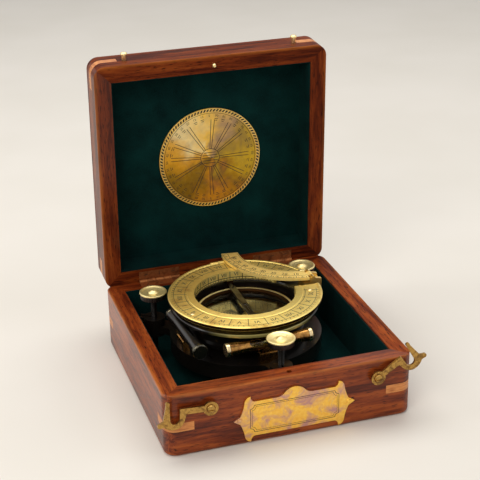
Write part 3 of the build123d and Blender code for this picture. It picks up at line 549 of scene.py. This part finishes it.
def blackLacquer(name, brassRimHighlight=False):
    look = lacquer
    material, tree, coords = startMaterial(name)
    patch = addNode(tree, "TexNoise", {"Scale": perMetre(look["patchMm"]), "Detail": 5.0, "Roughness": 0.62},
                    {"Vector": coords})
    cloud = addNode(tree, "TexNoise", {"Scale": perMetre(look["patchMm"] * 3), "Detail": 2.0},
                    {"Vector": coords})
    base = addNode(tree, "Mix", {
        "data_type": "RGBA", 6: toLinear(look["black"]), 7: toLinear(look["brown"])}, {0: cloud})
    start = look["wornFrom"]
    worn = addNode(tree, "ValToRGB", {"stops": [(start, 0.0), (start + 0.06, 0.8)]}, {"Fac": patch})
    colour = addNode(tree, "Mix", {"data_type": "RGBA", 7: toLinear(look["rubbed"])},
                     {0: worn, 6: base.outputs[2]})
    if brassRimHighlight:
        colour = rubFrontRim(tree, look, coords, colour)
    rough = addNode(tree, "MapRange", {"To Min": look["gloss"][0], "To Max": look["gloss"][1]},
                    {"Value": patch})
    bump = addNode(tree, "Bump", {"Strength": 0.12, "Distance": 0.0001}, {"Height": patch})
    return finishMaterial(material, look["surface"], {
        "Base Color": colour.outputs[2], "Roughness": rough, "Normal": bump})


blackBody = blackLacquer("blackLacquerBody")
# The bowl's front edge gets its painted highlight
dress(blackLacquer("blackLacquerBowl", True), "compass_bowl")
dress(blackBody, "tripod_base", "left_level_tube", "gnomon_bar", "gnomon_pin",
      "left_levelling_screw", "right_levelling_screw", "front_levelling_screw")
print("metals dressed")


# Dial card: silvered brass, brushed in a circle and lacquered
# A quiet pale grey that shows the black printing through the glass
silvering = {"silver": "#8d8a6e", "yellowed": "#4d4b30", "spotMm": 10.0,
             "surface": {"Metallic": 0.35, "Roughness": 0.42}}


def silveredCard(name):
    look = silvering
    material, tree, coords = startMaterial(name)
    spots = addNode(tree, "TexNoise", {"Scale": perMetre(look["spotMm"]), "Detail": 4.0}, {"Vector": coords})
    tone = addNode(tree, "ValToRGB", {"stops": [(0.38, look["silver"]), (0.7, look["yellowed"])]},
                   {"Fac": spots})
    return finishMaterial(material, look["surface"], {"Base Color": tone})


dress(silveredCard("silveredCard"), "compass_card")


# Needle: spring steel, blued by heat at its north end
needleSteel = {"steel": "#9a9a98", "polished": "#b4b2ac", "blued": "#1f2f63", "polishMm": 1.5,
               "bluedFromMm": (8.8, 9.2), "surface": {"Metallic": 1.0, "Roughness": 0.24}}


def bluedSteel(name):
    look = needleSteel
    material, tree, coords = startMaterial(name)
    split = addNode(tree, "SeparateXYZ", None, {0: coords})
    start, end = look["bluedFromMm"]
    north = addNode(tree, "MapRange", {"From Min": start * mm, "From Max": end * mm},
                    {"Value": split.outputs["Y"]})
    polish = addNode(tree, "TexNoise", {"Scale": perMetre(look["polishMm"]), "Detail": 2.0}, {"Vector": coords})
    steel = addNode(tree, "Mix", {
        "data_type": "RGBA", 6: toLinear(look["steel"]), 7: toLinear(look["polished"])}, {0: polish})
    colour = addNode(tree, "Mix", {"data_type": "RGBA", 7: toLinear(look["blued"])},
                     {0: north, 6: steel.outputs[2]})
    return finishMaterial(material, look["surface"], {"Base Color": colour.outputs[2]})


dress(bluedSteel("bluedSpringSteel"), "compass_needle")


# Glass: flat crown glass over the card, and the spirit vials
# Clear with a faint smear, and the card's cover mirrors the studio
glass = {"smearMm": 9.0, "smear": 0.04, "ior": 1.45, "mirrorIor": 1.9}


def clearGlass(name, tint, rough, mirror=0.0):
    look = glass
    material, tree, coords = startMaterial(name)
    smear = addNode(tree, "TexNoise", {"Scale": perMetre(look["smearMm"]), "Detail": 3.0}, {"Vector": coords})
    film = addNode(tree, "MapRange", {"To Min": rough, "To Max": rough + look["smear"]}, {"Value": smear})
    settings = {"Base Color": toLinear(tint), "Transmission Weight": 1.0, "IOR": look["ior"],
                "Coat Weight": mirror, "Coat IOR": look["mirrorIor"]}
    return finishMaterial(material, settings, {"Roughness": film})


dress(clearGlass("flatCrownGlass", "#f4f8f4", 0.0, 0.8), "cover_glass")
dress(clearGlass("spiritVialGlass", "#d9e6a8", 0.02), "level_vials")
print("card, needle and glass dressed")


# Engraving and printing: black wax in the cuts, rubbed brown in patches
def blackWax(name, tone):
    material, tree, coords = startMaterial(name)
    rubbed = addNode(tree, "TexNoise", {"Scale": perMetre(2.0), "Detail": 2.0}, {"Vector": coords})
    colour = addNode(tree, "ValToRGB", {"stops": [(0.45, tone), (0.85, "#33240f")]}, {"Fac": rubbed})
    return finishMaterial(material, {"Roughness": 0.6}, {"Base Color": colour})


wax = blackWax("blackWaxFill", "#0e0a07")
dialInk = blackWax("dialInk", "#0d0b0a")

# Hour ring: two rounds of twelve hours with quarter lines, in the plan of the dial
hourScale = {"top": 59.15, "inner": 39.7, "outer": 50.0, "circles": (40.7, 48.4), "circle": 0.28, "line": 0.4,
             "tall": 0.03, "numeralRadius": 44.4, "numeralSize": 4.9, "hourDegrees": 15, "notch": (-9.0, 27.0),
             "lineGap": 3, "numeralGap": 5}
romanHours = ["I", "II", "III", "IV", "V", "VI", "VII", "VIII", "IX", "X", "XI", "XII"]


def clearOf(angle, notch, gap=0):
    return not notch[0] - gap < (angle + 180) % 360 - 180 < notch[1] + gap


def engraveHourRing():
    look = hourScale
    marks = newShape()
    place = moved(0, 0, look["top"])
    start, end = look["notch"]
    gap = look["lineGap"]
    for i in range(96):
        angle = i * look["hourDegrees"] / 4
        if clearOf(angle, look["notch"], gap):
            heading = headingAt(radians(angle))
            inner = look["inner"] if i % 4 == 0 else look["circles"][1]
            addBar(marks, heading * inner, heading * look["outer"], look["line"], look["tall"], place)
    for i in range(24):
        angle = (i + 0.5) * look["hourDegrees"]
        if clearOf(angle, look["notch"], look["numeralGap"]):
            spot = place @ turned(angle - 90) @ moved(0, look["numeralRadius"], 0)
            addNumeral(marks, romanHours[i % 12], look["numeralSize"], look["tall"], spot)
    sweep = 360 - (end - start) - 2 * gap
    for radius in look["circles"]:
        addBand(marks, radius, radius + look["circle"], look["tall"], end + gap, sweep, place)
    finishPiece("hourRingEngraving", marks, wax, "hour_ring", dialPlace)


# The same hours again down the inside of the ring, read from the front
wallScale = {"radius": 34.46, "low": 52.9, "high": 59.1, "split": 54.6, "middle": 56.9, "size": 3.8,
             "line": 0.42, "thinLine": 0.294, "halfDash": 1.15, "tall": 0.04, "quarterDegrees": 3.75,
             "notch": (-12, 40)}


def wallFace(degrees):
    return turned(degrees - 90) @ moved(0, wallScale["radius"], 0) @ turned(90, "X")


def engraveInnerWall():
    look = wallScale
    low, high, split, dash = (look[key] for key in ("low", "high", "split", "halfDash"))
    marks = newShape()
    for i in range(96):
        angle = i * look["quarterDegrees"]
        if clearOf(angle, look["notch"]):
            face = wallFace(angle)
            for height in (split, low):
                addBar(marks, (-dash, height), (dash, height), look["line"], look["tall"], face)
            addBar(marks, (0, low), (0, split), look["thinLine"], look["tall"], face)
    for i in range(48):
        angle = i * 2 * look["quarterDegrees"]
        if clearOf(angle, look["notch"]):
            face = wallFace(angle)
            if i % 2:
                spot = face @ moved(0, look["middle"], 0)
                addNumeral(marks, romanHours[(i // 2) % 12], look["size"], look["tall"], spot)
            else:
                addBar(marks, (0, low), (0, high), look["line"], look["tall"], face)
    finishPiece("innerWallEngraving", marks, wax, "hour_ring", dialPlace)


# Two dome-headed screws in the ring's face, bright from handling
ringScrewArt = {"spots": ((-155.0, 47.0), (-15.5, 44.0)), "radius": 1.5, "tall": 0.75}


def ringScrews():
    look = ringScrewArt
    heads = newShape()
    for degrees, reach in look["spots"]:
        x, y = headingAt(radians(degrees)) * reach
        addDome(heads, look["radius"], look["tall"], moved(x, y, hourScale["top"]))
    finishPiece("hourRingScrewHeads", heads, brass["creamPinBrass"], "hour_ring", dialPlace, True)


engraveHourRing()
engraveInnerWall()
ringScrews()

# Latitude arc: degrees along the outer edge and plain numbers every ten
arcScale = {"centre": (52.5, 52.5, 62.0), "edge": 50.9, "first": 264.0, "last": 173.5, "tall": 0.03,
            "line": 0.32, "tens": 3.2, "fives": 2.4, "twos": 1.5, "numberRadius": 44.9, "numberSize": 4.2,
            "circles": ((47.0, 47.26), (50.7, 50.96), (40.2, 40.4))}


def engraveLatitudeArc():
    look = arcScale
    marks = newShape()
    place = moved(*look["centre"])
    span = look["first"] - look["last"]
    for i in range(91):
        angle = radians(look["first"] - span * i / 90)
        heading = headingAt(angle)
        length = look["tens"] if i % 10 == 0 else look["fives"] if i % 5 == 0 else look["twos"]
        if i % 2 == 0 or i % 5 == 0:
            start = look["edge"] - length
            addBar(marks, heading * start, heading * look["edge"], look["line"], look["tall"], place)
        if i % 10 == 0 and 0 < i < 90:
            turn = Matrix.Rotation(angle + radians(90), 4, "Z")
            spot = place @ Matrix.Translation(heading.to_3d() * look["numberRadius"]) @ turn
            addNumeral(marks, str(i), look["numberSize"], look["tall"], spot)
    for inner, outer in look["circles"]:
        addBand(marks, inner, outer, look["tall"], look["last"], span, place)
    finishPiece("latitudeArcEngraving", marks, wax, "latitude_arc", dialPlace)


engraveLatitudeArc()
print("ring and arc engraved")


# Lid disc: rope border, radial divisions and a ruled hub
discArt = {
    "tall": 0.03, "rope": 35.95, "circles": ((34.95, 36.95), (33.7, 34.0), (6.7, 7.1)),
    "spokes": 12, "spokeFrom": (7.1, 0.6), "spokeTo": (29.0, 1.3), "spokeLine": 0.42,
    "figures": 36, "figureSize": 2.5, "figureRadius": 31.8, "strokes": ((29.6, 2.6), (28.4, 1.8)),
    "strokeLine": 0.4, "hub": 5.9, "hubStep": 2.0, "hubLine": 0.45,
    "beads": 96, "beadHalf": 0.95, "beadLean": 0.6, "beadWidth": 0.85, "beadTall": 0.3,
    "rails": ((0.95, 1.42), (-1.25, -0.95)), "railTall": 0.35,
}
halfTurn = turned(180, "X")
discPlace = lidOpening @ moved(*discMiddle) @ halfTurn


def engraveLidDisc():
    look = discArt
    marks = newShape()
    for inner, outer in look["circles"]:
        addBand(marks, inner, outer, look["tall"])
    for i in range(look["spokes"]):
        heading = headingAt(2 * pi * (i + 0.18 * sin(i * 1.7)) / look["spokes"])    # ruled by eye
        side = Vector((-heading.y, heading.x))
        for shift in (-1.0, 1.0):
            start, end = (heading * reach + side * shift * spread
                          for reach, spread in (look["spokeFrom"], look["spokeTo"]))
            addBar(marks, start, end, look["spokeLine"], look["tall"])
    # Plain figures and short strokes stand where the original carries rows of lettering
    for i in range(look["figures"]):
        turn = Matrix.Rotation(2 * pi * i / look["figures"], 4, "Z")
        spot = turn @ moved(0, look["figureRadius"], 0)
        addNumeral(marks, str(5 * (i % 18 + 1)), look["figureSize"], look["tall"], spot)
        if i % 3:
            for row, length in look["strokes"]:
                addBar(marks, (-length / 2, row), (length / 2, row), look["strokeLine"], look["tall"], turn)
    for i in range(-2, 3):
        y = i * look["hubStep"]
        reach = sqrt(look["hub"] ** 2 - y * y)
        addBar(marks, (-reach, y), (reach, y), look["hubLine"], look["tall"])
    finishPiece("lidDiscEngraving", marks, wax, "lid", discPlace)


# A rope of slanting beads raised over the dark band at the edge
def beadRopeBorder():
    look = discArt
    rope = newShape()
    for i in range(look["beads"]):
        heading = headingAt(2 * pi * i / look["beads"])
        lean = Vector((heading.y, -heading.x)) * look["beadLean"]
        middle, half = heading * look["rope"], heading * look["beadHalf"]
        addBar(rope, middle - half - lean, middle + half + lean, look["beadWidth"], look["beadTall"])
    for inner, outer in look["rails"]:
        addBand(rope, look["rope"] + inner, look["rope"] + outer, look["railTall"])
    finishPiece("lidDiscRope", rope, brass["rubbedBrass"], "lid", discPlace)


beadRopeBorder()
engraveLidDisc()
print("lid disc engraved")


# Nameplate: left bare, with a plain engraved border
plateArt = {"centre": (1.5, -83.6, 18.2), "halfWidth": 29.5, "halfHeight": 9.6, "cornerCut": 2.6, "tall": 0.03,
            "borders": ((0.0, 0.35), (1.1, 0.21))}


def engraveNameplate():
    look = plateArt
    marks = newShape()
    bends = [radians(90 * k / 6) for k in range(7)]
    for inset, width in look["borders"]:
        w, h = look["halfWidth"] - inset, look["halfHeight"] - inset
        ring = []
        for turn, (sx, sy) in enumerate(((1, 1), (-1, 1), (-1, -1), (1, -1))):
            corner = Vector((sx * w, sy * h))
            arc = [corner - Vector((sx * cos(a), sy * sin(a))) * look["cornerCut"] for a in bends]
            ring += arc if turn % 2 else arc[::-1]
        for i, point in enumerate(ring):
            addBar(marks, point, ring[(i + 1) % len(ring)], width, look["tall"])
    place = moved(*look["centre"]) @ turned(90, "X")
    finishPiece("nameplateBorder", marks, wax, "base_box", place)


engraveNameplate()


# Compass card: a plain wind rose, letters for the quarters and degrees
cardArt = {"top": 37.3, "tall": 0.02, "ticks": 72, "tickFrom": (27.6, 28.6), "tickTo": 29.8, "tickLine": 0.22,
           "circles": ((29.8, 30.1), (25.9, 26.1), (11.0, 11.15)), "points": (20.5, 12.5), "waist": 4.6,
           "waistTurn": 0.3927, "outline": 0.16, "letterSize": 4.2, "letterRadius": 23.2}


def printCard():
    look = cardArt
    ink = newShape()
    place = moved(0, 0, look["top"])
    for i in range(look["ticks"]):
        heading = headingAt(radians(5 * i))
        start = heading * look["tickFrom"][i % 2]
        addBar(ink, start, heading * look["tickTo"], look["tickLine"], look["tall"], place)
    for inner, outer in look["circles"]:
        addBand(ink, inner, outer, look["tall"], place=place)
    for i in range(8):
        angle = radians(45 * i)
        tip = headingAt(angle) * look["points"][i % 2]
        for side in (-1, 1):
            waist = headingAt(angle + side * look["waistTurn"]) * look["waist"]
            if side > 0:
                addPlate(ink, [(0, 0), tuple(tip), tuple(waist)], look["tall"], place)
            else:
                for a, b in (((0, 0), waist), (waist, tip), (tip, (0, 0))):
                    addBar(ink, a, b, look["outline"], look["tall"], place)
    for letter, angle in (("N", 90), ("E", 0), ("S", 270), ("W", 180)):
        spot = place @ turned(angle - 90) @ moved(0, look["letterRadius"], 0)
        addNumeral(ink, letter, look["letterSize"], look["tall"], spot)
    finishPiece("cardPrinting", ink, dialInk, "instrument", dialPlace)


printCard()


# Spirit vials: an air bubble between two hair lines, and a rim on each cap
tripodTurn = 3.0    # degrees the tripod and its levels stand turned in the case
vialArt = {"tilt": 42, "bubbleHalf": 4.5, "bubbleUp": 1.4, "bubbleEnd": 0.15, "lineX": 5.5, "lineRadius": 2.93,
           "lineThick": 0.12, "rimX": 29.7, "rimThick": 0.3}


def fillVial(name, centre, turnDegrees, capRadii, rimFinish):
    look = vialArt
    tube = turned(tripodTurn) @ moved(*centre) @ turned(turnDegrees)
    place = tube @ turned(look["tilt"], "X")
    bubble = newShape()
    half = look["bubbleHalf"]
    points = [(-half + 2 * half * i / 12, 0, look["bubbleUp"]) for i in range(13)]
    radii = [look["bubbleEnd"] + sqrt(max(0.0, 1 - (2 * i / 12 - 1) ** 2)) for i in range(13)]
    addTube(bubble, points, radii, 12)
    air = clearGlass(name + "BubbleAir", "#ffffff", 0.0)
    finishPiece(name + "Bubble", bubble, air, "instrument", dialPlace @ place, True)
    lines = newShape()
    r = look["lineRadius"]
    bends = [radians(d) for d in range(-40, 41, 8)]
    for x in (-look["lineX"], look["lineX"]):
        addTube(lines, [(x, r * sin(a), r * cos(a)) for a in bends], look["lineThick"], 6)
    finishPiece(name + "Lines", lines, dialInk, "instrument", dialPlace @ place)
    turns = [2 * pi * k / 36 for k in range(36)]
    for side, x, r in zip(("First", "Second"), (-look["rimX"], look["rimX"]), capRadii):
        rim = newShape()
        addTube(rim, [(x, r * cos(a), r * sin(a)) for a in turns], look["rimThick"], 8, True)
        finishPiece(name + side + "CapRim", rim, rimFinish, "instrument", dialPlace @ tube, True)


fillVial("frontVial", (-2.0, -47.7, 45.0), 0, (4.2, 4.2), brass["creamPinBrass"])
fillVial("leftVial", (-47.7, -14.5, 45.0), 90, (4.9, 4.2), blackBody)


# Knobs: knurled edges, and a thread on each levelling screw
knobArt = {
    "circle": 64.0, "ridges": 48, "root": 0.06, "inside": 0.3,
    "rim": {"radius": 9.2, "low": 55.05, "high": 55.7, "proud": 0.22},
    "grip": {"radius": 8.65, "low": 51.3, "high": 54.75, "proud": 0.3},
    "thread": {"radius": 1.98, "low": 36.9, "turns": 14, "steps": 12, "thick": 0.2},
}


# A closed ring with a row of upright ridges round its outside
def addKnurl(shape, look):
    count = 2 * knobArt["ridges"]
    inner = look["radius"] - knobArt["inside"]
    low, high = look["low"], look["high"]
    corners = []
    for i in range(count):
        x, y = cos(2 * pi * i / count), sin(2 * pi * i / count)
        outer = look["radius"] + (look["proud"] if i % 2 else knobArt["root"])
        corners += [(r * x, r * y, z) for r, z in ((outer, low), (outer, high), (inner, high), (inner, low))]
    faces = [(4 * i + k, 4 * ((i + 1) % count) + k, 4 * ((i + 1) % count) + (k + 1) % 4, 4 * i + (k + 1) % 4)
             for i in range(count) for k in range(4)]
    addFaces(shape, corners, faces)


def knurlKnob(name, degrees):
    angle = radians(degrees)
    circle = knobArt["circle"]
    place = dialPlace @ moved(circle * cos(angle), circle * sin(angle), 0)
    for part, suffix, finish in (("rim", "KnobKnurl", brass["paleKnobBrass"]), ("grip", "KnobGrip", blackBody)):
        ridges = newShape()
        addKnurl(ridges, knobArt[part])
        finishPiece(name + suffix, ridges, finish, name + "_knob", place)
    look = knobArt["thread"]
    thread = newShape()
    points = []
    for i in range(look["steps"] * look["turns"] + 1):
        a = 2 * pi * i / look["steps"]
        height = look["low"] + i / look["steps"]    # one millimetre of rise each turn
        points.append((look["radius"] * cos(a), look["radius"] * sin(a), height))
    addTube(thread, points, look["thick"], 5)
    finishPiece(name + "ScrewThread", thread, blackBody, name + "_screw", place, True)


for knobName, knobDegrees in (("front", 270), ("right", 30), ("left", 150)):
    knurlKnob(knobName, knobDegrees + tripodTurn)


# Wood screws: a slot across each head in the hinge leaves
slotArt = {"leaves": (-43, 43), "screws": (-10, 0, 10), "half": 1.5, "width": 0.4, "tall": 0.03}


def slotHingeScrews(name, body, place):
    look = slotArt
    slots = newShape()
    for x in look["leaves"]:
        for step in look["screws"]:
            turn = Matrix.Rotation(random.uniform(0, pi), 4, "Z")
            spot = moved(x + step, 0, 0) @ turn
            addBar(slots, (-look["half"], 0), (look["half"], 0), look["width"], look["tall"], spot)
    finishPiece(name, slots, wax, body, place)


slotHingeScrews("baseHingeSlots", "base_box", moved(0, 75.3, 43.4))
slotHingeScrews("lidHingeSlots", "lid", lidOpening @ moved(0, 75.3, 43.6) @ halfTurn)
print("small brass details made")


# Studio: a plain pale floor under soft boxes
studio = {"floor": "#e6e3dd", "fibre": "#eae7e2", "fibreMm": 120.0, "halfFloor": 9.0, "sky": "#f3f1ee",
          "worldLight": 0.36, "worldSeen": 0.86}


def paleFloor():
    mesh = bpy.data.meshes.new("studioFloor")
    s = studio["halfFloor"]
    mesh.from_pydata([(-s, -s, 0), (s, -s, 0), (s, s, 0), (-s, s, 0)], [], [(0, 1, 2, 3)])
    material, tree, coords = startMaterial("palePaperFloor")
    fibre = addNode(tree, "TexNoise", {"Scale": perMetre(studio["fibreMm"]), "Detail": 2.0}, {"Vector": coords})
    tone = addNode(tree, "ValToRGB", {"stops": [(0.3, studio["floor"]), (0.7, studio["fibre"])]},
                   {"Fac": fibre})
    finishMaterial(material, {"Roughness": 0.9, "Specular IOR Level": 0.1}, {"Base Color": tone})
    mesh.materials.append(material)
    floor = placeObject("studioFloor", mesh)


def softBox(name, place, target, size, watts, tint="#ffffff"):
    light = bpy.data.lights.new(name, "AREA")
    light.shape = "RECTANGLE"
    light.size, light.size_y = size
    light.energy = watts
    light.color = toLinear(tint)[:3]
    lamp = placeObject(name, light)
    lamp.location = place
    lamp.rotation_euler = (Vector(target) - Vector(place)).to_track_quat("-Z", "Y").to_euler()


paleFloor()
softBox("overheadBox", (0.0, 0.42, 1.35), (0, 0, 0.05), (1.4, 0.9), 12.5, "#fffaf2")
softBox("keyBox", (-0.75, -0.95, 1.05), (0, 0, 0.06), (0.9, 0.7), 8.5, "#fff6ea")
softBox("leftStrip", (-1.3, 0.35, 0.7), (0, 0, 0.08), (0.35, 1.2), 4.0)
softBox("rightFill", (1.2, -0.7, 0.8), (0, 0, 0.06), (0.9, 0.9), 3.0)

world = bpy.data.worlds.new("paleStudio")
bpy.context.scene.world = world
world.use_nodes = True
tree = world.node_tree
tree.nodes.clear()
path = addNode(tree, "LightPath")
straight = addNode(tree, "Math", {"operation": "MAXIMUM"},
                   {0: path.outputs["Is Camera Ray"], 1: path.outputs["Is Transmission Ray"]})
seen = addNode(tree, "Math", {"operation": "MAXIMUM"}, {0: straight, 1: path.outputs["Is Glossy Ray"]})
level = addNode(tree, "Mix", {"data_type": "FLOAT", 2: studio["worldLight"], 3: studio["worldSeen"]},
                {0: seen})
sky = addNode(tree, "Background", {"Color": toLinear(studio["sky"])}, {"Strength": level})
addNode(tree, "OutputWorld", None, {"Surface": sky})

# Camera: the photograph's own angle
cameraSetup = {"focalMm": 97.15, "sensorMm": 36.0, "eye": (-238.06, -744.01, 446.56),
               "yaw": 17.28, "pitch": -23.83, "roll": -1.11}


def placeCamera():
    look = cameraSetup
    yaw, pitch, roll = (radians(look[k]) for k in ("yaw", "pitch", "roll"))
    forward = Vector((sin(yaw) * cos(pitch), cos(yaw) * cos(pitch), sin(pitch)))
    right = Vector((cos(yaw), -sin(yaw), 0))
    up = right.cross(forward)
    levelRight = right * cos(roll) + up * sin(roll)
    levelUp = up * cos(roll) - right * sin(roll)
    camera = bpy.data.cameras.new("photoCamera")
    camera.lens = look["focalMm"]
    camera.sensor_width = look["sensorMm"]
    camera.sensor_fit = "HORIZONTAL"
    camera.clip_start = 0.01
    holder = placeObject("photoCamera", camera)
    axes = Matrix((levelRight, levelUp, -forward)).transposed().to_4x4()
    holder.matrix_world = Matrix.Translation(Vector(look["eye"]) * mm) @ axes
    bpy.context.scene.camera = holder


placeCamera()
bpy.context.scene.view_settings.view_transform = "Standard"
print("studio and camera placed")

bpy.context.view_layer.update()
